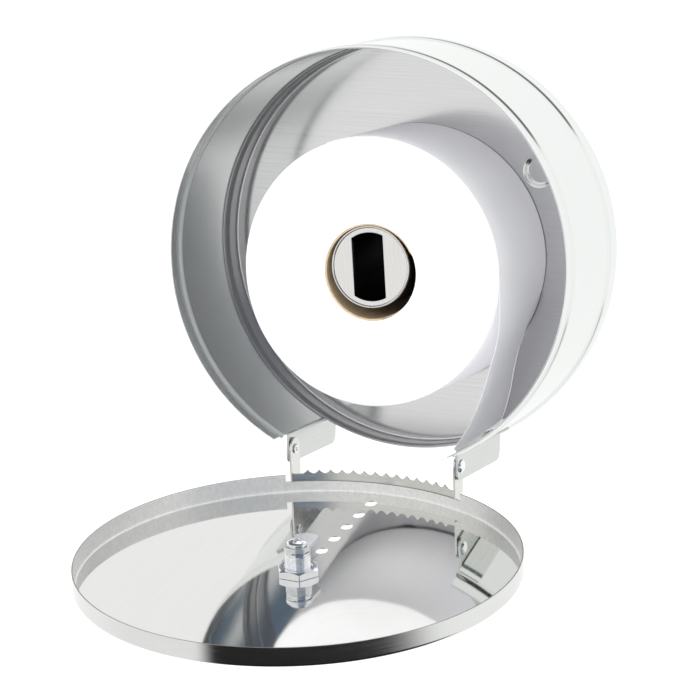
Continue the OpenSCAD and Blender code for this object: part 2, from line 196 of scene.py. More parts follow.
def from_below(radius, angle, distance):
    """A point at an angle from straight below the drum's axis, at a distance from the wall."""
    return (radius * math.sin(angle), -distance, -radius * math.cos(angle))


def quarter(steps):
    """Angles of a quarter turn in equal steps, without the first."""
    return [math.pi / 2 * k / steps for k in range(1, steps + 1)]


def turned(name, outline_at, segments, place=polar):
    """Turns a closed outline about an axis; outline_at gives it at each angle."""
    rows = []
    for i in range(segments):
        a = TURN * i / segments
        rows.append([place(r, a, h) for r, h in outline_at(a)])
    return mesh_from(name, *grid(rows, close_rows=True, close_columns=True))


def rounded(corners, steps=4):
    """A closed outline with its corners rounded: corners are (x, y, radius)."""
    points = []
    count = len(corners)
    for i, (x, y, radius) in enumerate(corners):
        here = Vector((x, y))
        if radius <= 0:
            points.append((x, y))
            continue
        back = (Vector(corners[i - 1][:2]) - here).normalized()
        ahead = (Vector(corners[(i + 1) % count][:2]) - here).normalized()
        half = math.acos(max(-1, min(1, back.dot(ahead)))) / 2
        reach = radius / math.tan(half)
        centre = here + (back + ahead).normalized() * (radius / math.sin(half))
        start = here + back * reach - centre
        end = here + ahead * reach - centre
        sweep = math.atan2(start.x * end.y - start.y * end.x, start.dot(end))
        for k in range(steps + 1):
            a = sweep * k / steps
            x = start.x * math.cos(a) - start.y * math.sin(a)
            y = start.x * math.sin(a) + start.y * math.cos(a)
            points.append(tuple(centre + Vector((x, y))))
    return points


def circle(cx, cy, radius, steps):
    """Points of a circle."""
    angles = [TURN * k / steps for k in range(steps)]
    return [(cx + radius * math.cos(a), cy + radius * math.sin(a)) for a in angles]


def plate(name, outer, holes=(), to_3d=lambda x, y: (x, y, 0)):
    """A flat face with holes, as an open surface mesh."""
    mesh = bpy.data.meshes.new(name)
    with editing(mesh) as bm:
        edges = []
        for loop in (outer, *holes):
            verts = [bm.verts.new(to_3d(x, y)) for x, y in loop]
            edges += [bm.edges.new((verts[i - 1], verts[i])) for i in range(len(verts))]
        bmesh.ops.triangle_fill(bm, use_beauty=True, use_dissolve=False, edges=edges)
    return mesh


def join(name, meshes):
    """One mesh from several, welded where they meet."""
    joined = bpy.data.meshes.new(name)
    with editing(joined) as bm:
        for mesh in meshes:
            bm.from_mesh(mesh)
        bmesh.ops.remove_doubles(bm, verts=bm.verts, dist=WELD_PARTS)
    return joined


def settle(obj, thickness=0.0, offset=-1.0, bevel=0.0, segments=2, angle=40.0, inner_slot=0, even=True):
    """Thickens a surface, rounds its edges and stores the result in the piece's mesh."""
    if thickness:
        solid = obj.modifiers.new("thickness", "SOLIDIFY")
        solid.thickness = thickness
        solid.offset = offset
        solid.use_even_offset = even
        solid.material_offset = inner_slot
    if bevel:
        round_off = obj.modifiers.new("edges", "BEVEL")
        round_off.width = bevel
        round_off.segments = segments
        round_off.limit_method = "ANGLE"
        round_off.angle_limit = math.radians(angle)
        round_off.use_clamp_overlap = True
    for polygon in obj.data.polygons:
        polygon.use_smooth = True
    weigh = obj.modifiers.new("normals", "WEIGHTED_NORMAL")
    weigh.weight = 90
    weigh.keep_sharp = True
    if not bevel:
        obj.data.set_sharp_from_angle(angle=math.radians(angle))
    bpy.context.view_layer.update()
    depsgraph = bpy.context.evaluated_depsgraph_get()
    baked = bpy.data.meshes.new_from_object(obj.evaluated_get(depsgraph), depsgraph=depsgraph)
    old = obj.data
    obj.modifiers.clear()
    obj.data = baked
    bpy.data.meshes.remove(old)


def rib(distance, centre):
    """Height of a rolled rib at a distance from the wall."""
    off = abs(distance - centre)
    return 0.0 if off >= RIB_HALF else RIB_H * (1 + math.cos(math.pi * off / RIB_HALF)) / 2


def spread(start, end, ribs, step):
    """Distances from start to end, close together over the ribs."""
    places = {start, end}
    half_steps = 14
    for centre in ribs:
        for k in range(-half_steps, half_steps + 1):
            places.add(centre + RIB_HALF * k / half_steps)
    count = max(2, round((end - start) / step))
    for k in range(1, count):
        d = start + (end - start) * k / count
        if all(abs(d - centre) > RIB_HALF * 1.05 for centre in ribs):
            places.add(d)
    return sorted(p for p in places if start <= p <= end)


# ---------------- material helpers
NOISE_LOW, NOISE_HIGH = 0.3, 0.7  # nearly all of a noise lies between these
GRAIN_DEPTH = 0.06 * MM


def set_inputs(node, **values):
    """Sets a node's inputs by their names, written with _ for a space."""
    for key, value in values.items():
        node.inputs[key.replace("_", " ")].default_value = value


class Nodes:
    """A material's node tree with short calls for adding and linking nodes."""

    def __init__(self, name):
        self.material = bpy.data.materials.new(name)
        self.material.use_nodes = True
        self.tree = self.material.node_tree
        self.tree.nodes.clear()
        self.output = self.add("ShaderNodeOutputMaterial")
        self.shader = self.add("ShaderNodeBsdfPrincipled")
        self.link(self.shader, "BSDF", self.output, "Surface")

    def add(self, kind, **settings):
        node = self.tree.nodes.new(kind)
        for key, value in settings.items():
            setattr(node, key, value)
        return node

    def link(self, source, output, target, socket):
        self.tree.links.new(source.outputs[output], target.inputs[socket])

    def set(self, **values):
        set_inputs(self.shader, **values)

    def stretched(self, scale):
        """Object coordinates, scaled on each axis."""
        coords = self.add("ShaderNodeTexCoord")
        mapping = self.add("ShaderNodeMapping")
        set_inputs(mapping, Scale=scale)
        self.link(coords, "Object", mapping, "Vector")
        return mapping

    def around(self, axis, along, radial, across):
        """Coordinates (angle, radius, depth) about the Y or Z axis, scaled on each."""
        coords = self.add("ShaderNodeTexCoord")
        split = self.add("ShaderNodeSeparateXYZ")
        self.link(coords, "Object", split, "Vector")
        first, second, depth = ("X", "Z", "Y") if axis == "Y" else ("X", "Y", "Z")
        angle = self.add("ShaderNodeMath", operation="ARCTAN2")
        self.link(split, first, angle, 0)
        self.link(split, second, angle, 1)
        flat = self.add("ShaderNodeCombineXYZ")
        self.link(split, first, flat, "X")
        self.link(split, second, flat, "Y")
        radius = self.add("ShaderNodeVectorMath", operation="LENGTH")
        self.link(flat, "Vector", radius, 0)
        joined = self.add("ShaderNodeCombineXYZ")
        self.link(angle, "Value", joined, "X")
        self.link(radius, "Value", joined, "Y")
        self.link(split, depth, joined, "Z")
        mapping = self.add("ShaderNodeMapping")
        set_inputs(mapping, Scale=(along, radial, across))
        self.link(joined, "Vector", mapping, "Vector")
        return mapping

    def noise(self, where, detail, rough):
        node = self.add("ShaderNodeTexNoise")
        set_inputs(node, Scale=1, Detail=detail, Roughness=rough)
        self.link(where, "Vector", node, "Vector")
        return node

    def ramp(self, noise, low, high):
        """Maps the middle of a noise's range to another range."""
        node = self.add("ShaderNodeMapRange")
        set_inputs(node, From_Min=NOISE_LOW, From_Max=NOISE_HIGH, To_Min=low, To_Max=high)
        self.link(noise, "Fac", node, "Value")
        return node

    def tint(self, noise, low, high):
        """Blends two base colours by a noise."""
        factor = self.ramp(noise, 0.0, 1.0)
        mix = self.add("ShaderNodeMix", data_type="RGBA")
        mix.inputs[6].default_value = (*low, 1)
        mix.inputs[7].default_value = (*high, 1)
        self.link(factor, "Result", mix, 0)
        self.link(mix, 2, self.shader, "Base Color")
        return mix

    def bump(self, source, output, strength, distance, below=None):
        node = self.add("ShaderNodeBump")
        set_inputs(node, Strength=strength, Distance=distance)
        self.link(source, output, node, "Height")
        if below is not None:
            self.link(below, "Normal", node, "Normal")
        self.link(node, "Normal", self.shader, "Normal")
        return node


def metal(name, low, high, rough, rough_spread, scale, grain, dents=0.0, metallic=1.0):
    """Metal with a fine grain; scale is (x, y, z), or an axis and the scales of angle, radius and depth."""
    nodes = Nodes(name)
    nodes.set(Metallic=metallic)
    place = nodes.around(*scale) if len(scale) == 4 else nodes.stretched(scale)
    fine = nodes.noise(place, 6.0, 0.6)
    cloudy = nodes.noise(nodes.stretched((9, 9, 9)), 3.0, 0.5)
    nodes.tint(fine, low, high)
    rough_node = nodes.add("ShaderNodeMath", operation="ADD")
    first = nodes.ramp(fine, rough - rough_spread, rough + rough_spread)
    second = nodes.ramp(cloudy, -0.5 * rough_spread, 0.5 * rough_spread)
    nodes.link(first, "Result", rough_node, 0)
    nodes.link(second, "Result", rough_node, 1)
    nodes.link(rough_node, "Value", nodes.shader, "Roughness")
    wave = nodes.bump(cloudy, "Fac", 1.0, dents) if dents else None
    nodes.bump(fine, "Fac", grain, GRAIN_DEPTH, wave)
    return nodes.material


# ---------------- materials
band_steel = metal(
    "band_steel", (0.79, 0.815, 0.795), (0.85, 0.875, 0.855), 0.15, 0.02,
    ("Y", 6, 400, 2600), grain=0.03)
plate_steel = metal(
    "plate_steel", (0.68, 0.68, 0.685), (0.77, 0.77, 0.775), 0.13, 0.03,
    (14, 60, 2400), grain=0.03, dents=0.12 * MM)
# painted shade: the back pan's rim is a darker copy of the plate's steel, standing in for the shade on its inner
# wall; it is also rougher
pan_rim_painted_shade = metal(
    "pan_rim_painted_shade", (0.46, 0.46, 0.465), (0.54, 0.54, 0.545), 0.33, 0.04,
    ("Y", 6, 400, 2600), grain=0.03)
# painted shade: the cover rim's top edge is much darker than the sheet, standing in for the shade along it; its
# greater roughness is the cut's own finish
cut_edge_painted_shade = metal(
    "cut_edge_painted_shade", (0.30, 0.29, 0.28), (0.40, 0.39, 0.38), 0.4, 0.05,
    (600, 600, 600), grain=0.05)
bracket_steel = metal(
    "bracket_steel", (0.61, 0.635, 0.61), (0.69, 0.715, 0.69), 0.24, 0.04,
    (60, 20, 1800), grain=0.05)
cover_inside = metal(
    "cover_inside", (0.74, 0.74, 0.725), (0.765, 0.765, 0.75), 0.045, 0.01,
    (900, 14, 900), grain=0.006, dents=0.1 * MM)
cover_rim = metal(
    "cover_rim", (0.72, 0.73, 0.715), (0.78, 0.79, 0.775), 0.12, 0.03,
    ("Z", 6, 400, 2600), grain=0.03)
# painted light: the cover rim's inner wall is a lighter, half diffuse copy of the cover's steel, so that it looks
# lit
rim_inside_painted_light = metal(
    "rim_inside_painted_light", (0.72, 0.72, 0.705), (0.84, 0.84, 0.825), 0.36, 0.05,
    ("Z", 60, 400, 300), grain=0.05, metallic=0.5)
blade_steel = metal(
    "blade_steel", (0.70, 0.70, 0.67), (0.80, 0.80, 0.77), 0.24, 0.04,
    ("Z", 8, 400, 2200), grain=0.05)
spindle_steel = metal(
    "spindle_steel", (0.76, 0.75, 0.73), (0.85, 0.84, 0.82), 0.25, 0.05,
    (1500, 40, 20), grain=0.06)
# painted shade: near-black steel that stands in for the shade inside the spindle tube
tube_painted_shade = metal(
    "tube_painted_shade", (0.020, 0.017, 0.016), (0.032, 0.027, 0.026), 0.6, 0.05,
    (300, 300, 300), grain=0.05)
chrome = metal(
    "chrome", (0.88, 0.895, 0.92), (0.94, 0.95, 0.97), 0.09, 0.03,
    (300, 300, 300), grain=0.03)
cam_steel = metal(
    "cam_steel", (0.86, 0.88, 0.88), (0.93, 0.94, 0.94), 0.34, 0.04,
    (300, 300, 300), grain=0.03)
zinc = metal(
    "zinc", (0.66, 0.67, 0.68), (0.80, 0.80, 0.80), 0.2, 0.06,
    (500, 500, 500), grain=0.06)
brass = metal(
    "brass", (0.62, 0.48, 0.22), (0.74, 0.60, 0.30), 0.25, 0.05,
    (400, 400, 900), grain=0.08)


def tissue_material(name, rings, thin=0.0):
    """Soft white tissue; rings draws the edges of the wound layers, thin lets light through; without rings the
    paper is lighter and has a painted glow.
    """
    nodes = Nodes(name)
    nodes.set(Roughness=0.95, Specular_IOR_Level=0.15)
    fibres = nodes.noise(nodes.stretched((700, 700, 700)), 5.0, 0.65)
    folds = nodes.noise(nodes.stretched((30, 18, 30)), 3.0, 0.5)
    base = nodes.bump(fibres, "Fac", 0.25, 0.2 * MM)
    if rings:
        colour = nodes.tint(folds, (0.78, 0.78, 0.79), (0.83, 0.83, 0.84))
        layers = nodes.noise(nodes.around("Y", 1.2, 1500, 40), 3.0, 0.5)
        nodes.bump(layers, "Fac", 0.35, 0.3 * MM, base)
    else:
        # painted light: the side and the tail are a lighter copy of the face's paper
        colour = nodes.tint(folds, (0.83, 0.83, 0.85), (0.88, 0.88, 0.89))
        # painted light: a faint glow on the roll's side and the tail, standing in for light bounced off the metal
        nodes.set(Emission_Strength=0.18 if thin else 0.11, Emission_Color=(0.96, 0.95, 1.0, 1))
        emboss = nodes.add("ShaderNodeTexVoronoi", feature="SMOOTH_F1")
        set_inputs(emboss, Scale=420)
        nodes.link(nodes.stretched((1, 1, 1)), "Vector", emboss, "Vector")
        nodes.bump(emboss, "Distance", 0.12, 0.3 * MM, base)
    if thin:
        glow = nodes.add("ShaderNodeBsdfTranslucent")
        nodes.link(colour, 2, glow, "Color")
        mix = nodes.add("ShaderNodeMixShader")
        mix.inputs[0].default_value = thin
        nodes.link(nodes.shader, "BSDF", mix, 1)
        nodes.link(glow, "BSDF", mix, 2)
        nodes.link(mix, "Shader", nodes.output, "Surface")
    return nodes.material


def kraft_material():
    """Raw brown board with specks."""
    nodes = Nodes("kraft")
    nodes.set(Roughness=0.85, Specular_IOR_Level=0.2)
    specks = nodes.noise(nodes.stretched((260, 60, 260)), 8.0, 0.7)
    nodes.tint(specks, (0.46, 0.34, 0.21), (0.62, 0.49, 0.34))
    nodes.bump(specks, "Fac", 0.35, 0.2 * MM)
    return nodes.material


tissue_face = tissue_material("tissue_face", True)
tissue_side_painted_glow = tissue_material("tissue_side_painted_glow", False)
tissue_sheet_painted_glow = tissue_material("tissue_sheet_painted_glow", False, thin=0.15)
kraft = kraft_material()


# ---------------- drum
def build_band():
    """C-shaped band with two rolled ribs; it stops at the edges of the outlet."""
    edge = SHEET / 2
    outer = [(BAND_R + rib(d, FRONT_RIB) + rib(d, REAR_RIB), d)
             for d in spread(BAND_REAR + edge, BAND_FRONT - edge, (REAR_RIB, FRONT_RIB), 8 * MM)]
    inner = [(r - SHEET, d) for r, d in reversed(outer)]
    lip = [math.pi * k / 6 for k in range(1, 6)]
    front = [(BAND_R - edge + edge * math.cos(a), BAND_FRONT - edge + edge * math.sin(a)) for a in lip]
    rear = [(BAND_R - edge - edge * math.cos(a), BAND_REAR + edge - edge * math.sin(a)) for a in lip]
    section = outer + front + inner + rear
    steps = 300
    rows = []
    for i in range(steps + 1):
        row = []
        for r, d in section:
            end = math.asin(OUTLET_HALF / r)
            row.append(from_below(r, end + (TURN - 2 * end) * i / steps, d))
        rows.append(row)
    mesh = mesh_from("drum_band_sheet", *grid(rows, close_columns=True, caps=True))
    add_piece(
        "drum_band_sheet", mesh, "drum", "drum_steel", [band_steel], replaces=("drum_band",), angle=50)


screws = next(m for m in frame["record"]["mounts"] if m["name"] == "wall_screws")
BOSS_X = screws["dims"]["spacing_x_mm"] / 2 * MM
BOSS_Z = screws["dims"]["spacing_y_mm"] / 2 * MM
BOSS_HOLE = screws["dims"]["hole_r_mm"] * MM
BOSS_FLAT = 7 * MM
BOSS_SLOPE = 2.4 * MM
DISC_STEPS = 64
FOOT_CENTRE = 0.2 * MM
FOOT_FLAT = 7.2 * MM
FOOT_SLOPE = 4.5 * MM
FEET = [(80 * MM, 52 * MM), (-80 * MM, 30 * MM), (-10 * MM, -85 * MM)]


def sunk_disc(cx, cz, hole, flat, slope, reach, level):
    """Part of the plate pressed back to the wall, from its hole or centre out to the plate."""
    radii = [hole + (flat - hole) * k / 5 for k in range(5)]
    radii += [flat + slope * k / 14 for k in range(15)] + [reach]
    rows = []
    for r in radii:
        t = min(1.0, max(0.0, (r - flat) / slope))
        drop = PLATE_BACK * (1 + math.cos(math.pi * t)) / 2
        rows.append([(x, level + drop, z) for x, z in circle(cx, cz, r, DISC_STEPS)])
    return mesh_from("sunk_disc", *grid(rows, close_columns=True), outward=False)


def build_pan():
    """Back plate with three pressed feet, four sunk screw bosses, a bent rim and a rolled rib."""
    rim_turn = PAN_R - BEND_R
    plate_r = rim_turn - 0.6 * MM
    level = -(PLATE_BACK + SHEET)
    around = 300
    places = [(sx * BOSS_X, sz * BOSS_Z, BOSS_HOLE, BOSS_FLAT, BOSS_SLOPE)
              for sx in (-1, 1) for sz in (-1, 1)]
    places += [(x, z, FOOT_CENTRE, FOOT_FLAT, FOOT_SLOPE) for x, z in FEET]
    rings, parts = [], []
    for cx, cz, hole, flat, slope in places:
        reach = flat + slope + 1 * MM
        rings.append(circle(cx, cz, reach, DISC_STEPS))
        parts.append(sunk_disc(cx, cz, hole, flat, slope, reach, level))
        if hole == FOOT_CENTRE:
            sole = circle(cx, cz, hole, DISC_STEPS)
            parts.append(plate("sole", sole, (), lambda x, z: (x, level + PLATE_BACK, z)))
    parts.append(plate("pan_plate", circle(0, 0, plate_r, around), rings, lambda x, z: (x, level, z)))
    inner_bend = BEND_R - SHEET
    wall = [(plate_r, -level), (rim_turn, -level)]
    wall += [(rim_turn + inner_bend * math.sin(a), inner_bend * (1 - math.cos(a)) - level)
             for a in quarter(6)]
    wall += [(PAN_R - SHEET + rib(d, REAR_RIB), d)
             for d in spread(-level + inner_bend + 0.6 * MM, PAN_FRONT, (REAR_RIB,), 4 * MM)]
    rows = [[(x, -d, z) for x, z in circle(0, 0, r, around)] for r, d in wall]
    parts.append(mesh_from("pan_rim", *grid(rows, close_columns=True), outward=False))
    mesh = join("back_pan_sheet", parts)
    face_towards(mesh, Vector((0, -PAN_FRONT * 3, 0)))
    obj = add_piece(
        "back_pan_sheet", mesh, "drum", "drum_steel", [plate_steel, pan_rim_painted_shade], replaces=("back_pan",),
        thickness=SHEET, bevel=0.15 * MM, angle=50)
    # painted shade: the rim's faces get the darker steel
    for polygon in obj.data.polygons:
        if math.hypot(polygon.center.x, polygon.center.z) > rim_turn + 1 * MM:
            polygon.material_index = 1


def bracket_outline():
    """Outline of a bracket's tab as (distance from the wall, up)."""
    front, rear = -left_lo.y, -left_hi.y
    low = left_lo.z
    top = -math.sqrt(BAND_R**2 - OUTLET_HALF**2) + 0.4 * MM
    step_at, step = PAN_FRONT + 1 * MM, 1.8 * MM
    corners = [(front, low, 6 * MM), (front, top, 0), (step_at, top, 0), (step_at, top - step, 0),
               (rear, top - step, 0), (rear, low, 6 * MM)]
    return rounded(corners, 10)


def build_bracket(side, name, node):
    """Tab beside the outlet, and its flange along the outside of the band."""
    face = OUTLET_HALF - BRACKET_T
    tab = plate("tab", bracket_outline(), (), lambda d, up: (side * face, -d, up))
    face_towards(tab, Vector((0, -0.05, 0)))
    add_piece(name, tab, "drum", "bracket_steel", [bracket_steel], replaces=(node,),
              thickness=BRACKET_T, bevel=0.25 * MM, angle=40)
    radius = BAND_R + 0.05 * MM
    reach = (left_hi.x - left_lo.x) - 0.2 * MM
    start, end = math.asin(OUTLET_HALF / radius), math.asin((face + reach) / radius)
    front, rear = -left_lo.y - 2 * MM, REAR_RIB + RIB_HALF + 1 * MM
    section = rounded(
        [(radius, rear, 0.4 * MM), (radius + BRACKET_T, rear, 0.4 * MM),
         (radius + BRACKET_T, front, 0.4 * MM), (radius, front, 0.4 * MM)], 4)
    steps = 24
    angles = [side * (start + (end - start) * i / steps) for i in range(steps + 1)]
    rows = [[from_below(r, a, d) for r, d in section] for a in angles]
    flange = mesh_from(name + "_flange", *grid(rows, close_columns=True, caps=True))
    add_piece(name + "_flange", flange, "drum", "bracket_steel", [bracket_steel], bevel=0.2 * MM, angle=50)


# ---------------- spindle
SPINDLE_R = (tube_hi.x - tube_lo.x) / 2
SPINDLE_Z = (tube_hi.z + tube_lo.z) / 2
TUBE_WALL = 1.2 * MM
SLOT_W = 21.4 * MM
SLOT_R = 22 * MM
SLOT_SHIFT = 1.4 * MM
SLOT_LEAN = math.radians(5)
CAP_T = 1.5 * MM
LIP_T = 1 * MM
LIP_REAR, LIP_FRONT = 3.2 * MM, 1.2 * MM  # how far behind the cap's face the edges run
spindle_frame = Matrix.Translation((0, 0, SPINDLE_Z)) @ Matrix.Rotation(math.radians(90), 4, "X")


def build_spindle():
    """Tube with a round lip, and its end disc with the slot and two turned-in edges."""
    rear, front = -tube_hi.y, -tube_lo.y
    section = rounded(
        [(SPINDLE_R, rear, 0), (SPINDLE_R, front - 2.4 * MM, 0), (SPINDLE_R, front, 0.55 * MM),
         (SPINDLE_R - TUBE_WALL, front, 0.55 * MM), (SPINDLE_R - TUBE_WALL, rear, 0)], 6)
    tube = turned("spindle_tube_shell", lambda a: section, 160)
    # painted shade: the tube's inside, and its outside behind the front lip, get the near-black material
    for polygon in tube.polygons:
        radius, height = math.hypot(polygon.center.x, polygon.center.y), polygon.center.z
        if radius < SPINDLE_R - TUBE_WALL + 0.02 * MM or height < front - 2.5 * MM:
            polygon.material_index = 1
    add_piece(
        "spindle_tube_shell", tube, "drum", "spindle_steel", [spindle_steel, tube_painted_shade],
        matrix=spindle_frame, replaces=("spindle_tube",), angle=50)

    face = -cap_lo.y
    disc_r = SPINDLE_R - TUBE_WALL - 0.05 * MM
    left, right = -SLOT_SHIFT - SLOT_W / 2, -SLOT_SHIFT + SLOT_W / 2
    start, end = math.acos(left / SLOT_R), math.acos(right / SLOT_R)
    arc = [start + (end - start) * k / 16 for k in range(17)]
    upper = [(SLOT_R * math.cos(a), SLOT_R * math.sin(a)) for a in arc]
    lower = [(x, -y) for x, y in reversed(upper)]
    cap_frame = spindle_frame @ Matrix.Rotation(SLOT_LEAN, 4, "Z")
    disc = plate("cap_disc", circle(0, 0, disc_r, 128), [upper + lower], lambda x, y: (x, y, face))
    face_towards(disc, Vector((0, 0, 1)))
    add_piece(
        "spindle_cap_disc", disc, "drum", "spindle_steel", [spindle_steel],
        matrix=cap_frame, replaces=("spindle_cap",),
        thickness=CAP_T, bevel=0.3 * MM, segments=3, angle=40)
    lip_end = SLOT_R * 0.75
    for side, edge, name in ((-1, left, "slot_lip_left"), (1, right, "slot_lip_right")):
        back = edge + side * LIP_T
        corners = [(edge, -lip_end), (back, -lip_end), (back, lip_end), (edge, lip_end)]
        lip = rounded([(x, y, 0.3 * MM) for x, y in corners], 3)
        rows = [[(x, y, z) for x, y in lip] for z in (face - LIP_REAR, face - LIP_FRONT)]
        mesh = mesh_from("slot_lip", *grid(rows, close_columns=True, caps=True))
        add_piece(name, mesh, "drum", "spindle_steel", [spindle_steel], matrix=cap_frame,
                  bevel=0.15 * MM, angle=50)


# ---------------- hinge
def build_rivets():
    """Domed head outside the bracket and a hollow tail rolled over the ear."""
    axis_r = 0.001 * MM  # the outline stops just short of the axis
    bore_r, bore_depth, bore_edge = 1.25 * MM, 2.4 * MM, 0.35 * MM
    crest_r, rolled_r, rolled_h = 2.2 * MM, 3.2 * MM, 1.0 * MM
    shank_r, head_r, head_h, head_foot = 2 * MM, 4.5 * MM, 2.0 * MM, 0.15 * MM
    tail = EAR_IN - 1.15 * MM
    reach = rivet_hi.x - 2.2 * MM - tail
    outline = [(axis_r, bore_depth), (bore_r, bore_depth), (bore_r, bore_edge)]
    outline += [(bore_r + (crest_r - bore_r) * (1 - math.cos(a)), bore_edge - bore_edge * math.sin(a))
                for a in quarter(4)]
    outline += [(crest_r + (rolled_r - crest_r) * math.sin(a), 0.5 * rolled_h * (1 - math.cos(a)))
                for a in quarter(4)]
    outline += [(rolled_r, rolled_h - 0.1 * MM), (rolled_r - 0.2 * MM, rolled_h), (shank_r, rolled_h)]
    outline += [(shank_r, reach), (head_r - 0.3 * MM, reach), (head_r, reach + head_foot)]
    outline += [(head_r * math.cos(a), reach + head_foot + head_h * math.sin(a)) for a in quarter(10)[:-1]]
    outline += [(axis_r, reach + head_foot + head_h)]
    for side, name in ((-1, "rivet_left"), (1, "rivet_right")):
        outwards = Matrix.Rotation(math.radians(90 * side), 4, "Y")
        add_piece(
            name, turned(name, lambda a: outline, 64), "drum", "plated_fastener", [chrome],
            matrix=Matrix.Translation((side * tail, pivot.y, pivot.z)) @ outwards,
            replaces=("hinge_rivets",) if side < 0 else (), angle=45)


# ---------------- cover
pan_box_lo, pan_box_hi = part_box("cover_pan")
COVER_R = (pan_box_hi.x - pan_box_lo.x) / 2
COVER_H = 12.7 * MM
CUT_H = 8 * MM
CUT_HALF = 61.6 * MM
LOCK_R = 8.2 * MM
SIGHT_COUNT = 5
SIGHT_R, SIGHT_STRETCH = 3.5 * MM, 1.3 * MM
SIGHT_FIRST, SIGHT_PITCH = 38 * MM, 20.8 * MM
BLADE_T = 1.2 * MM
EAR_R = 7.3 * MM
RIVET_HOLE = 2.06 * MM
EAR_OUT = OUTLET_HALF - BRACKET_T - 0.5 * MM
EAR_IN = EAR_OUT - BLADE_T


def build_cover():
    """Shallow pan, polished inside, with sight holes and its rim cut down at the ears."""
    around = 360
    turn_r = COVER_R - BEND_R
    oblong = [(x, y + math.copysign(SIGHT_STRETCH, y)) for x, y in circle(0, 0, SIGHT_R, 48)]
    holes = [[(x, y + SIGHT_FIRST + SIGHT_PITCH * k) for x, y in oblong] for k in range(SIGHT_COUNT)]
    holes.append(circle(0, 0, LOCK_R + 0.1 * MM, 96))
    flat_r = turn_r - 0.8 * MM
    base = plate("cover_plate", circle(0, 0, flat_r, around), holes)
    wall = [(flat_r, 0.0), (turn_r - 0.1 * MM, 0.0), (turn_r, 0.0)]
    wall += [(turn_r + BEND_R * math.sin(a), BEND_R * (1 - math.cos(a))) for a in quarter(8)]
    wall += [(COVER_R, BEND_R + 0.3 * MM), (COVER_R, CUT_H), (COVER_R, COVER_H)]
    verts = [(x, y, h) for r, h in wall for x, y in circle(0, 0, r, around)]
    faces = []
    top = len(wall) - 2
    cut_angle = math.asin(CUT_HALF / COVER_R)
    for i in range(len(wall) - 1):
        for j in range(around):
            middle = TURN * (j + 0.5) / around
            from_hinge = abs(math.atan2(math.cos(middle), math.sin(middle)))
            if i == top and from_hinge < cut_angle:
                continue
            k = (j + 1) % around
            faces.append((i * around + j, i * around + k, (i + 1) * around + k, (i + 1) * around + j))
    rim = mesh_from("cover_rim", verts, faces, outward=False)
    with editing(rim) as bm:
        bmesh.ops.delete(bm, geom=[v for v in bm.verts if not v.link_faces], context="VERTS")
    mesh = join("cover_sheet", [base, rim])
    face_towards(mesh, Vector((0, 0, 0.3)))
    for polygon in mesh.polygons:
        polygon.flip()
    obj = add_piece(
        "cover_sheet", mesh, "cover", "cover_steel", [cover_rim, cover_inside, cut_edge_painted_shade, rim_inside_painted_light],
        matrix=cover_frame, replaces=("cover_pan",),
        thickness=SHEET, offset=-1, bevel=0.12 * MM, angle=50, inner_slot=1)
    # painted shade on the rim's top edge and painted light on its inner wall, as materials 2 and 3
    for polygon in obj.data.polygons:
        if math.hypot(polygon.center.x, polygon.center.y) > turn_r:
            if polygon.normal.z > 0.9 and polygon.center.z > CUT_H - 0.5 * MM:
                polygon.material_index = 2
            elif polygon.material_index == 1:
                polygon.material_index = 3


def build_blade():
    """Serrated strip outside the rim, with the two hinge ears standing at its ends."""
    count, pitch = 14, math.radians(3.08)
    root_h, low_h, tooth_h = 12.8 * MM, 2 * MM, 2.7 * MM
    outer_r = COVER_R + BLADE_T
    end = math.asin(EAR_OUT / outer_r)
    per_tooth = 16
    first = -count / 2 * pitch
    profile = [(-end, root_h)]
    for k in range(count * per_tooth + 1):
        from_valley = 1 - abs(2 * ((k / per_tooth) % 1.0) - 1)
        profile.append((first + pitch * k / per_tooth, root_h + tooth_h * from_valley**1.8))
    profile.append((end, root_h))
    rows = [[(outer_r * math.sin(a), outer_r * math.cos(a), min(h, level)) for a, h in profile]
            for level in (low_h, root_h - 1.5 * MM, root_h + tooth_h)]
    strip = mesh_from("tear_strip", *grid(rows), outward=False)
    face_towards(strip, Vector((0, 1, 0)))
    add_piece(
        "tear_blade_strip", strip, "cover", "cover_steel", [blade_steel],
        matrix=cover_frame, replaces=("tear_blade",),
        thickness=BLADE_T, bevel=0.12 * MM, angle=30)

    rim_y = math.sqrt(COVER_R**2 - EAR_IN**2)
    py, pz = pivot_local.y, pivot_local.z
    above_cut = CUT_H + 0.4 * MM
    top = circle(py, pz, EAR_R, 48)[:25]
    foot = rounded(
        [(py - EAR_R, pz, 0), (py - EAR_R, above_cut, 0.6 * MM), (rim_y, above_cut, 0),
         (rim_y, 4 * MM, 0.4 * MM), (py + EAR_R, 4 * MM, 9 * MM), (py + EAR_R, pz, 0)], 10)
    hole = circle(py, pz, RIVET_HOLE, 40)
    for side, name in ((-1, "ear_left"), (1, "ear_right")):
        ear = plate(name, top + foot[1:-1], [hole], lambda y, z: (side * EAR_IN, y, z))
        face_towards(ear, Vector((-side * 0.2, 0.13, 0)))
        add_piece(name, ear, "cover", "cover_steel", [blade_steel], matrix=cover_frame,
                  thickness=BLADE_T, bevel=0.2 * MM, angle=40)


# ---------------- lock
HEAD_H = 2 * MM
BARREL_TOP = 16 * MM
NUT_LOW, NUT_H, NUT_AF = SHEET, 5 * MM, 24.2 * MM
NUT_TURN = math.radians(55)
CAM_LOW, CAM_T = 16.8 * MM, 2.6 * MM
CAM_LEN, CAM_W, CAM_TIP_R = 20.5 * MM, 15 * MM, 5.8 * MM
CAM_SQUARE = 7.1 * MM
PLUG_BORE = 5.56 * MM
STOP_IN, STOP_OUT = 6.8 * MM, LOCK_R - 0.5 * MM
SCREW_LOW = CAM_LOW + CAM_T + 0.5 * MM


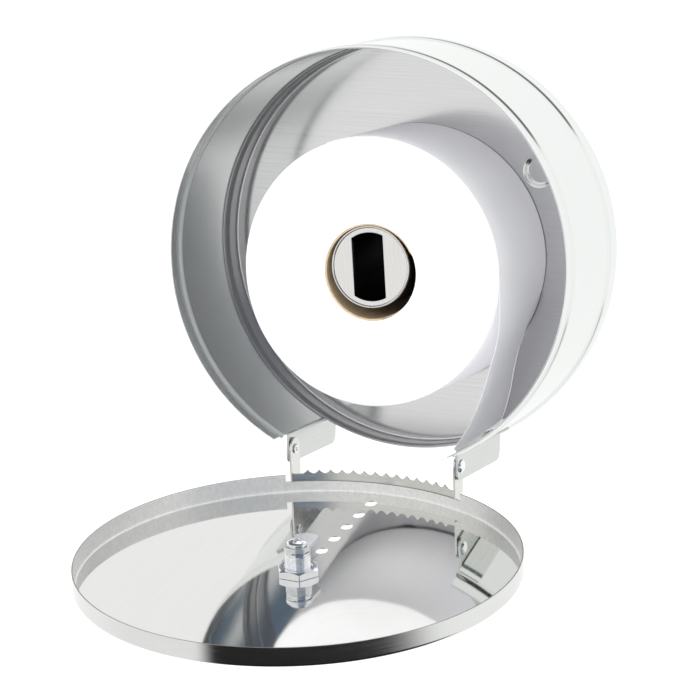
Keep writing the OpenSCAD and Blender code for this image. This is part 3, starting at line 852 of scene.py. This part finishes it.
def build_barrel():
    """Round head outside, threaded barrel inside, and part of a stop ring on its end."""
    head_r, recess_r, recess_top = 10.5 * MM, 6.86 * MM, 1.3 * MM - HEAD_H
    thread_low, thread_high, pitch, depth = 0.9 * MM, 13.6 * MM, 0.8 * MM, 0.22 * MM
    seat = -0.005 * MM  # the head stops just short of the cover
    per_turn = 8
    rings = round((thread_high - thread_low) / pitch * per_turn)
    head = [(PLUG_BORE, recess_top), (recess_r, recess_top), (recess_r, -HEAD_H + 0.1 * MM),
            (recess_r + 0.14 * MM, -HEAD_H), (head_r - 1.0 * MM, -HEAD_H),
            (head_r - 0.3 * MM, -HEAD_H + 0.35 * MM), (head_r, -HEAD_H + 0.9 * MM),
            (head_r, -0.15 * MM), (head_r - 0.15 * MM, seat), (LOCK_R - depth, seat)]
    neck_r, end_r = LOCK_R - 0.6 * MM, LOCK_R - 0.1 * MM
    end = [(neck_r, 13.9 * MM), (neck_r, 14.7 * MM), (end_r, 15.0 * MM), (end_r, BARREL_TOP - 0.2 * MM),
           (end_r - 0.3 * MM, BARREL_TOP), (PLUG_BORE, BARREL_TOP)]

    def outline_at(a):
        thread = []
        for k in range(rings + 1):
            h = thread_low + (thread_high - thread_low) * k / rings
            crest = 1 - abs(2 * ((h / pitch - a / TURN) % 1.0) - 1)
            fade = min(1.0, (h - thread_low) / pitch, (thread_high - h) / pitch)
            thread.append((LOCK_R - depth + depth * fade * min(1.0, crest * 1.25), h))
        return head + thread + end

    add_piece(
        "lock_barrel_thread", turned("lock_barrel_thread", outline_at, 96), "cover", "lock_chrome",
        [chrome], matrix=cover_frame, replaces=("lock_barrel",), angle=50)
    low, high, soft = BARREL_TOP - 0.3 * MM, BARREL_TOP + 0.7 * MM, 0.2 * MM
    corners = [(STOP_IN, low, 0), (STOP_OUT, low, 0), (STOP_OUT, high, soft), (STOP_IN, high, soft)]
    section = rounded(corners, 3)
    steps = 36
    rows = [[polar(r, math.radians(93 + 174 * k / steps), h) for r, h in section] for k in range(steps + 1)]
    ring = mesh_from("lock_stop_ring", *grid(rows, close_columns=True, caps=True))
    add_piece("lock_stop_ring", ring, "cover", "lock_chrome", [chrome], matrix=cover_frame, angle=50)


def build_nut():
    """Hexagon nut with its corners turned off on the upper side."""
    bore, bore_edge = LOCK_R - 0.1 * MM, 0.9 * MM
    flat_r, corner_cut, low_crown = NUT_AF / 2, 0.3 * MM, 0.25 * MM
    top = NUT_LOW + NUT_H
    sixth = math.radians(60)

    def outline_at(a):
        hexagon = flat_r / math.cos((a - NUT_TURN) % sixth - sixth / 2)
        crown = (hexagon - flat_r + corner_cut) / math.sqrt(3)
        return [(bore, NUT_LOW), (hexagon - corner_cut, NUT_LOW), (hexagon, NUT_LOW + low_crown),
                (hexagon, top - crown), (flat_r - corner_cut, top), (bore + bore_edge, top),
                (bore, top - bore_edge)]

    add_piece(
        "lock_nut_hex", turned("lock_nut_hex", outline_at, 180), "cover", "lock_chrome", [chrome],
        matrix=cover_frame, replaces=("lock_nut",), bevel=0.12 * MM, angle=22)


def build_cam():
    """Broad tongue clamped on the plug's square end."""
    half, side = CAM_W / 2, CAM_SQUARE / 2
    join_angle = math.acos(half / LOCK_R)
    shoulder = math.sin(join_angle) * LOCK_R
    back = [polar(LOCK_R, join_angle - (TURN / 2 + 2 * join_angle) * k / 40, 0)[:2] for k in range(41)]
    tongue = rounded([(-half, shoulder, 0), (-half, CAM_LEN, CAM_TIP_R), (half, CAM_LEN, CAM_TIP_R),
                      (half, shoulder, 0)], 12)
    square = [(-side, -side), (side, -side), (side, side), (-side, side)]
    mesh = plate("lock_cam_tongue", back + tongue[1:-1], [square], lambda x, y: (x, y, CAM_LOW + CAM_T))
    face_towards(mesh, Vector((0, 0, 1)))
    add_piece(
        "lock_cam_tongue", mesh, "lock_core", "lock_chrome", [cam_steel],
        matrix=cover_frame, replaces=("lock_cam",),
        thickness=CAM_T, bevel=0.25 * MM, segments=3, angle=40)


def build_screw():
    """Domed screw head with a cross recess."""
    head_r, head_h, rim_share = 6.3 * MM, 2.8 * MM, 0.42
    arm_half, arm_reach, arm_end = 0.7 * MM, 3.6 * MM, 4.0 * MM
    recess, recess_end = 1.7 * MM, 0.3 * MM
    segments, rings = 128, 40
    angles = [TURN * i / segments for i in range(segments)]
    rows = []
    for k in range(rings + 1):
        t = math.pi / 2 * k / rings
        h = SCREW_LOW + head_h * (rim_share + (1 - rim_share) * math.cos(t) ** 0.9)
        row = []
        for x, y in (polar(head_r * math.sin(t), a, h)[:2] for a in angles):
            reach = max(abs(x), abs(y))
            crossed = min(abs(x), abs(y)) < arm_half and reach < arm_reach
            row.append((x, y, h - (recess * (1 - reach / arm_end) + recess_end if crossed else 0.0)))
        rows.append(row)
    rows.append([polar(head_r, a, SCREW_LOW) for a in angles])
    rows.append([(0.0, 0.0, SCREW_LOW)] * segments)
    add_piece(
        "lock_screw_head", mesh_from("lock_screw_head", *grid(rows, close_columns=True)), "lock_core",
        "plated_fastener", [chrome], matrix=cover_frame, replaces=("lock_screw",), angle=35)


# ---------------- paper
ROLL_R = (roll_hi.x - roll_lo.x) / 2
ROLL_Z = (roll_hi.z + roll_lo.z) / 2
BULGE = 3.4 * MM  # the outer layers stand out at the rear
BULGE_FROM, BULGE_OVER = 48 * MM, 14 * MM
CORE_IN = 30 * MM
CORE_OUT = (core_hi.x - core_lo.x) / 2
roll_frame = Matrix.Translation((0, 0, ROLL_Z))


def build_roll():
    """Wound paper: soft corners, uneven layers on both faces, the outer ones further back."""
    rng = random.Random(7)
    front, rear = -roll_lo.y, -roll_hi.y
    inner = CORE_OUT + 0.05 * MM
    rings, side_steps = 90, 24
    corner, soft_from = 0.7 * MM, 0.985
    uneven = [rng.uniform(-1, 1) for _ in range(rings + 1)]
    waves = [(rng.randint(1, 5), rng.uniform(0, TURN), rng.uniform(0.3, 1.0)) for _ in range(5)]

    def outline_at(a):
        sway = sum(size * math.sin(n * a + phase) for n, phase, size in waves) / len(waves)
        face = []
        for k in range(rings + 1):
            t = k / rings
            edge = max(0.0, t - soft_from) / (1 - soft_from)
            dip = 0.10 * MM * (1 + uneven[k]) + 0.12 * MM * (1 + sway) * t + 0.6 * MM * edge**2
            face.append((inner + (ROLL_R - inner) * t - 0.02 * MM, dip))
        outline = [(r, front - dip) for r, dip in face]
        for k in range(1, side_steps):
            d = front - corner - (front - rear + BULGE - 2 * corner) * k / side_steps
            slack = min(k, side_steps - k) / side_steps * 2
            outline.append((ROLL_R - 0.15 * MM * (1 + math.sin(3 * a + k * 0.9)) * 0.5 * slack, d))
        for r, dip in reversed(face):
            out = min(1.0, max(0.0, (r - BULGE_FROM) / BULGE_OVER))
            outline.append((r, rear + dip - BULGE * out**2 * (3 - 2 * out)))
        return outline

    mesh = turned("paper_roll_wound", outline_at, 200, from_above)
    for polygon in mesh.polygons:
        if abs(polygon.normal.y) < 0.7:
            polygon.material_index = 1
    add_piece(
        "paper_roll_wound", mesh, "roll", "tissue_paper", [tissue_face, tissue_side_painted_glow],
        matrix=roll_frame, replaces=("paper_roll",), angle=60)


def build_core():
    """Kraft core, its front edge torn off at the lower right."""
    rng = random.Random(11)
    front, rear = -core_lo.y, -core_hi.y
    torn_from, torn_to, torn_depth = 62, 164, 6 * MM  # angles from the top, in degrees

    def outline_at(a):
        inside = min((math.degrees(a) - torn_from) / 14, (torn_to - math.degrees(a)) / 3, 1.0)
        chip = torn_depth * max(0.0, inside)
        fray = 0.10 * MM * rng.random() + (0.5 * MM * rng.random() if chip else 0.0)
        lip = front - chip - fray
        return [(CORE_IN, rear + 0.1 * MM), (CORE_IN, lip - 0.25 * MM), (CORE_IN + 0.25 * MM, lip),
                (CORE_IN + 0.6 * MM, lip - 0.08 * MM), (CORE_OUT - 0.3 * MM, lip),
                (CORE_OUT, lip - 0.2 * MM), (CORE_OUT, rear + 0.2 * MM), (CORE_OUT - 0.2 * MM, rear),
                (CORE_IN + 0.2 * MM, rear)]

    add_piece(
        "roll_core_board", turned("roll_core_board", outline_at, 160, from_above), "roll",
        "kraft_board", [kraft], matrix=roll_frame, replaces=("roll_core",), angle=40)


def tail_curve(points, t):
    """Point of a smooth curve through listed points, t from 0 to 1."""
    spans = len(points) - 1
    at = min(int(t * spans), spans - 1)
    f = t * spans - at
    p = [Vector(points[max(0, min(spans, at + k))]) for k in (-1, 0, 1, 2)]
    return 0.5 * (
        2 * p[1] + (p[2] - p[0]) * f + (2 * p[0] - 5 * p[1] + 4 * p[2] - p[3]) * f**2
        + (3 * p[1] - p[0] - 3 * p[2] + p[3]) * f**3
    )


def torn_height(distance, rng):
    """Height of the torn edge at a distance from the wall."""
    edge = [(94, -117.5), (66, -125), (57.5, -138.5), (33, -136.5), (28.5, -117), (3, -114.5)]
    for (d0, up0), (d1, up1) in zip(edge, edge[1:]):
        if d1 <= distance <= d0:
            return up0 + (up1 - up0) * (distance - d0) / (d1 - d0) + rng.uniform(0, 0.7)
    return edge[-1][1]


def build_tail():
    """Free end of the paper: it lies on the top of the roll, hangs from its side and is torn off."""
    rng = random.Random(5)
    front_y, rear_y = tail_lo.y, tail_hi.y + BULGE
    wrap_r = ROLL_R / MM + 0.25
    wrap = [(wrap_r * math.cos(math.radians(a)), ROLL_Z / MM + wrap_r * math.sin(math.radians(a)))
            for a in range(112, -1, -8)]  # round the roll, down to its right side
    front_edge = wrap + [(88.0, -26), (87.2, -43), (82.8, -61), (76.6, -84), (69.5, -102), (60.5, -116.5),
                         (53.5, -125), (47.5, -139)]
    rear_edge = wrap + [(84.9, -24), (80.0, -39), (73.6, -56), (68.3, -76), (65.4, -93), (60.5, -112),
                        (53.5, -125), (47.5, -139)]
    steps, across, fine = 190, 72, 690
    ripple_size, ripple_reach = 0.25, 30
    step_up, step_out = -63, 0.5  # height and size of the step at the perforation
    columns = []
    for j in range(across + 1):
        s = j / across
        y = front_y + (rear_y - front_y) * s
        line = [tail_curve(front_edge, k / fine).lerp(tail_curve(rear_edge, k / fine), s**1.3)
                for k in range(fine + 1)]
        lowest = torn_height(-y / MM, rng)
        last = next((k for k, p in enumerate(line) if p.y <= lowest), fine)
        column = []
        for i in range(steps + 1):
            at = last * i / steps
            k = min(int(at), fine - 1)
            p = line[k].lerp(line[k + 1], at - k)
            hang = min(1.0, max(0.0, (ROLL_Z / MM - p.y) / ripple_reach))
            ripple = ripple_size * math.sin(s * 9 + p.y * 0.07) * hang
            step = step_out * s**2 * min(1.0, max(0.0, (step_up + 1.5 * s - p.y) / 0.9))
            column.append(((p.x + ripple - step) * MM, y, p.y * MM))
        columns.append(column)
    mesh = mesh_from("paper_tail_sheet", *grid(columns), outward=False)
    obj = add_piece(
        "paper_tail_sheet", mesh, "drum", "tissue_paper", [tissue_sheet_painted_glow], replaces=("paper_tail",),
        thickness=0.3 * MM, offset=0, even=False)


# ---------------- the remaining CAD nodes
def dress(names, material):
    """Gives CAD nodes a finished material."""
    for name in names:
        node = frame["nodes"][name]
        node.data.materials.clear()
        node.data.materials.append(material)


build_band()
build_pan()
build_bracket(-1, "bracket_left", "hinge_bracket_left")
build_bracket(1, "bracket_right", "hinge_bracket_right")
build_spindle()
build_rivets()
build_cover()
build_blade()
build_barrel()
build_nut()
build_cam()
build_screw()
build_roll()
build_core()
build_tail()
dress(["spindle_flange"], spindle_steel)
dress(["spindle_screws", "spindle_nuts", "hinge_washers", "lock_spring_washer", "lock_springs"], zinc)
dress(["lock_plug", "lock_stop_washer"], chrome)
dress(["lock_wafers"], brass)


# ---------------- studio
def build_floor():
    """Plain pale floor well below the dispenser, which hangs on its wall screws."""
    half, drop = 40.0, 0.75
    mesh = bpy.data.meshes.new("floor")
    corners = [(-half, -half), (half, -half), (half, half), (-half, half)]
    mesh.from_pydata([(x, y, -drop) for x, y in corners], [], [(0, 1, 2, 3)])
    floor = bpy.data.objects.new("floor", mesh)
    bpy.context.scene.collection.objects.link(floor)
    nodes = Nodes("floor_paint")
    nodes.set(Roughness=0.9, Specular_IOR_Level=0.1, Emission_Strength=0.2, Emission_Color=(1, 1, 1, 1))
    nodes.tint(nodes.noise(nodes.stretched((3, 3, 3)), 3.0, 0.5), (0.93, 0.93, 0.93), (0.95, 0.95, 0.95))
    mesh.materials.append(nodes.material)
    floor.visible_glossy = False


def build_world():
    """Even white studio light; the metal mirrors a dark ground in front, a dark strip overhead
    and a dim blue room at the front right."""
    world = bpy.data.worlds.new("studio")
    bpy.context.scene.world = world
    world.use_nodes = True
    nodes, link = world.node_tree.nodes, world.node_tree.links.new
    nodes.clear()
    output = nodes.new("ShaderNodeOutputWorld")
    coords = nodes.new("ShaderNodeTexCoord")
    split = nodes.new("ShaderNodeSeparateXYZ")
    link(coords.outputs["Generated"], split.inputs["Vector"])

    def step(axis, start, end, low, high):
        """A smooth step between two values along one axis of the direction."""
        node = nodes.new("ShaderNodeMapRange")
        node.interpolation_type = "SMOOTHSTEP"
        set_inputs(node, From_Min=start, From_Max=end, To_Min=low, To_Max=high)
        link(split.outputs[axis], node.inputs["Value"])
        return node.outputs["Result"]

    def combine(operation, first, second):
        node = nodes.new("ShaderNodeMath")
        node.operation = operation
        link(first, node.inputs[0])
        if isinstance(second, float):
            node.inputs[1].default_value = second
        else:
            link(second, node.inputs[1])
        return node.outputs["Value"]

    def darken(amount, *factors):
        """1 away from a zone, 1 - amount inside it; the zone is the product of the factors."""
        zone = factors[0]
        for factor in factors[1:]:
            zone = combine("MULTIPLY", zone, factor)
        return combine("ADD", combine("MULTIPLY", zone, -amount), 1.0)

    sides = step("Y", -0.3, 0.3, 0.96, 1.05)
    ground = darken(0.98, step("Z", -0.46, -0.38, 1.0, 0.0), step("Y", 0.3, 0.5, 1.0, 0.0),
                    step("X", -0.48, -0.32, 0.0, 1.0))
    strip = darken(0.85, step("Z", 0.59, 0.68, 0.0, 1.0), step("Y", -0.65, -0.5, 0.0, 1.0),
                   step("Y", 0.44, 0.56, 1.0, 0.0))
    neutral = combine("MULTIPLY", combine("MULTIPLY", sides, ground), strip)
    room = [step("X", 0.02, 0.14, 0.0, 1.0), step("Y", -0.3, -0.15, 1.0, 0.0),
            step("Z", 0.03, 0.12, 0.0, 1.0), step("Z", 0.52, 0.6, 1.0, 0.0)]
    colour = nodes.new("ShaderNodeCombineColor")
    for channel, amount in (("Red", 0.82), ("Green", 0.76), ("Blue", 0.67)):
        link(combine("MULTIPLY", neutral, darken(amount, *room)), colour.inputs[channel])

    def background(strength):
        node = nodes.new("ShaderNodeBackground")
        set_inputs(node, Color=(1, 1, 1, 1), Strength=strength)
        return node

    path = nodes.new("ShaderNodeLightPath")

    def choose(ray, others, shown):
        """One background for a kind of ray and another for all others."""
        node = nodes.new("ShaderNodeMixShader")
        link(path.outputs[ray], node.inputs[0])
        link(others.outputs[0], node.inputs[1])
        link(shown.outputs[0], node.inputs[2])
        return node

    mirrored = background(1.0)
    link(colour.outputs["Color"], mirrored.inputs["Color"])
    by_gloss = choose("Is Glossy Ray", background(1.05), mirrored)
    link(choose("Is Camera Ray", by_gloss, background(1.0)).outputs[0], output.inputs["Surface"])


def build_light(name, place, size, power):
    """A soft box that looks at the object's middle."""
    light = bpy.data.lights.new(name, "AREA")
    light.shape = "SQUARE"
    light.size = size
    light.energy = power
    obj = bpy.data.objects.new(name, light)
    bpy.context.scene.collection.objects.link(obj)
    obj.visible_glossy = False
    obj.location = place
    obj.rotation_mode = "QUATERNION"
    obj.rotation_quaternion = (middle - Vector(place)).to_track_quat("-Z", "Y")


def build_camera():
    """Camera a long way off, to the right of the drum and a little above it."""
    azimuth, elevation, roll = math.radians(21.18), math.radians(9.96), math.radians(1.36)
    distance = 2.2
    orbit = Vector((0, -0.063, -0.060))
    aim = Vector((-0.0212, -0.0722, -0.0639))
    back = Vector((math.sin(azimuth) * math.cos(elevation), -math.cos(azimuth) * math.cos(elevation),
                   math.sin(elevation)))
    data = bpy.data.cameras.new("camera")
    data.lens = 175.1
    data.sensor_width = 36
    data.clip_start = 0.05
    camera = bpy.data.objects.new("camera", data)
    bpy.context.scene.collection.objects.link(camera)
    camera.location = orbit + back * distance
    camera.rotation_mode = "QUATERNION"
    level = (aim - camera.location).to_track_quat("-Z", "Y")
    camera.rotation_quaternion = level @ Matrix.Rotation(roll, 3, "Z").to_quaternion()
    bpy.context.scene.camera = camera


build_floor()
build_world()
middle = (cad_box[0] + cad_box[1]) / 2
build_light("key", place=(0.3, -2.2, 0.35), size=0.9, power=24)
build_light("top", place=(0.3, -0.2, 1.6), size=1.2, power=12)
build_camera()
bpy.context.scene.view_settings.view_transform = "Standard"
